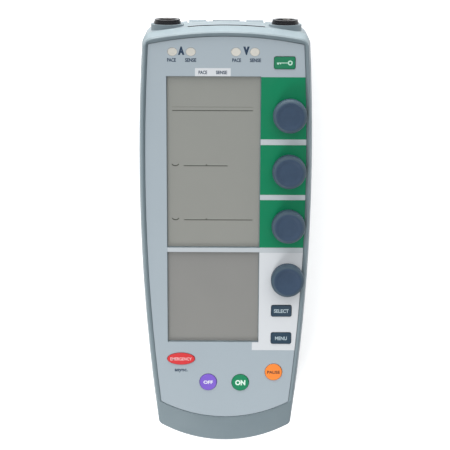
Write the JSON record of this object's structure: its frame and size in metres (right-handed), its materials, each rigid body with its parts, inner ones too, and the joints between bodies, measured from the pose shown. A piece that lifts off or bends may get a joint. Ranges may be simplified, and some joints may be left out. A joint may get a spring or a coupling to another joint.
{
  "type": "external temporary pacemaker",
  "caption": "Hand-held external temporary pacemaker with two lead sockets, two display windows, dials and coloured keys, a battery drawer and a swing-out hanger, lying on its back.",
  "frame": {"origin": "on the flat back face, midway along the overall length and across the width", "axes": "+Z out of the control panel, +Y towards the lead sockets, +X to the right of someone reading the panel"},
  "size_m": [0.0818, 0.2078, 0.043],
  "materials": {
    "front_shell": "fine satin moulding texture",
    "rear_shell": "fine satin moulding texture",
    "black_rubber": "matte cord",
    "overlay_print": "printed polycarbonate sheet, low sheen",
    "window_clear": "clear plate, light anti-glare",
    "display_grey": "reflective display glass, switched off",
    "light_guide": "clear acrylic light guide",
    "white_moulding": "moulded",
    "switch_black": "moulded",
    "led_amber": "small lens",
    "board_green": "solder mask",
    "ferrite_grey": "potted",
    "can_aluminium": "drawn can",
    "screw_steel": "plated",
    "socket_black": "glass-filled moulding, slight sheen",
    "contact_brass": "plated contact",
    "battery_jacket": "plain jacket",
    "drawer_plastic": "fine satin moulding texture",
    "button_plastic": "fine satin moulding texture",
    "hanger_plastic": "fine satin moulding texture",
    "knob_blue_grey": "soft-touch moulding",
    "shaft_steel": "turned",
    "encoder_metal": "die-cast housing",
    "key_green": "printed cap",
    "key_navy": "printed cap",
    "key_red": "printed cap",
    "key_purple": "printed cap",
    "key_on_green": "printed cap",
    "key_orange": "printed cap",
    "light_cream": "diffusing light pipe"
  },
  "bodies": {
    "case": {"front_case": "front_shell", "rear_case": "rear_shell", "case_gasket": "black_rubber", "control_overlay": "overlay_print", "upper_window": "window_clear", "lower_window": "window_clear", "upper_display": "display_grey", "lower_display": "display_grey", "upper_backlight": "light_guide", "lower_backlight": "light_guide", "display_frame": "white_moulding", "key_switches": "switch_black", "indicator_leds": "led_amber", "control_board": "board_green", "main_board": "board_green", "board_link": "switch_black", "sounder": "switch_black", "output_transformers": "ferrite_grey", "storage_capacitors": "can_aluminium", "case_screws": "screw_steel", "board_screws": "screw_steel", "atrial_socket": "socket_black", "ventricular_socket": "socket_black", "atrial_contacts": "contact_brass", "ventricular_contacts": "contact_brass", "atrial_socket_nut": "socket_black", "ventricular_socket_nut": "socket_black", "battery_contacts": "contact_brass", "bay_cover": "white_moulding", "release_spring": "screw_steel", "hanger_pin": "screw_steel", "rate_encoder": "encoder_metal", "atrial_output_encoder": "encoder_metal", "ventricular_output_encoder": "encoder_metal", "menu_encoder": "encoder_metal", "atrial_pace_light": "light_cream", "atrial_sense_light": "light_cream", "ventricular_pace_light": "light_cream", "ventricular_sense_light": "light_cream"},
    "rate_dial": {"rate_knob": "knob_blue_grey", "rate_shaft": "shaft_steel"},
    "atrial_output_dial": {"atrial_output_knob": "knob_blue_grey", "atrial_output_shaft": "shaft_steel"},
    "ventricular_output_dial": {"ventricular_output_knob": "knob_blue_grey", "ventricular_output_shaft": "shaft_steel"},
    "menu_dial": {"menu_knob": "knob_blue_grey", "menu_shaft": "shaft_steel"},
    "lock_key": {"lock_key": "key_green"},
    "select_key": {"select_key": "key_navy"},
    "menu_key": {"menu_key": "key_navy"},
    "emergency_key": {"emergency_key": "key_red"},
    "off_key": {"off_key": "key_purple"},
    "on_key": {"on_key": "key_on_green"},
    "pause_key": {"pause_key": "key_orange"},
    "drawer": {"battery_drawer": "drawer_plastic", "battery": "battery_jacket"},
    "release": {"release_button": "button_plastic"},
    "hanger": {"hanger": "hanger_plastic"}
  },
  "joints": [
    {"name": "rate_dial_turn", "type": "hinge", "parent": "case", "child": "rate_dial", "pos_m": [0.0298, 0.0614, 0.04], "axis": [0, 0, 1], "continuous": true},
    {"name": "atrial_output_dial_turn", "type": "hinge", "parent": "case", "child": "atrial_output_dial", "pos_m": [0.0298, 0.0349, 0.04], "axis": [0, 0, 1], "continuous": true},
    {"name": "ventricular_output_dial_turn", "type": "hinge", "parent": "case", "child": "ventricular_output_dial", "pos_m": [0.0298, 0.0084, 0.04], "axis": [0, 0, 1], "continuous": true},
    {"name": "menu_dial_turn", "type": "hinge", "parent": "case", "child": "menu_dial", "pos_m": [0.0298, -0.0181, 0.04], "axis": [0, 0, 1], "continuous": true},
    {"name": "lock_key_press", "type": "slide", "parent": "case", "child": "lock_key", "axis": [0, 0, -1], "range_m": [0, 0.0006], "stiffness_N_per_m": 500},
    {"name": "select_key_press", "type": "slide", "parent": "case", "child": "select_key", "axis": [0, 0, -1], "range_m": [0, 0.0006], "stiffness_N_per_m": 500},
    {"name": "menu_key_press", "type": "slide", "parent": "case", "child": "menu_key", "axis": [0, 0, -1], "range_m": [0, 0.0006], "stiffness_N_per_m": 500},
    {"name": "emergency_key_press", "type": "slide", "parent": "case", "child": "emergency_key", "axis": [0, 0, -1], "range_m": [0, 0.0006], "stiffness_N_per_m": 500},
    {"name": "off_key_press", "type": "slide", "parent": "case", "child": "off_key", "axis": [0, 0, -1], "range_m": [0, 0.0006], "stiffness_N_per_m": 500},
    {"name": "on_key_press", "type": "slide", "parent": "case", "child": "on_key", "axis": [0, 0, -1], "range_m": [0, 0.0006], "stiffness_N_per_m": 500},
    {"name": "pause_key_press", "type": "slide", "parent": "case", "child": "pause_key", "axis": [0, 0, -1], "range_m": [0, 0.0006], "stiffness_N_per_m": 500},
    {"name": "drawer_slide", "type": "slide", "parent": "case", "child": "drawer", "axis": [0, -1, 0], "range_m": [0, 0.042]},
    {"name": "release_press", "type": "slide", "parent": "case", "child": "release", "axis": [-1, 0, 0], "range_m": [0, 0.0012], "stiffness_N_per_m": 400, "deforming": ["release_spring"]},
    {"name": "hanger_swing", "type": "hinge", "parent": "case", "child": "hanger", "pos_m": [0, 0.0972, 0.0052], "axis": [1, 0, 0], "range_deg": [0, 180]}
  ]
}
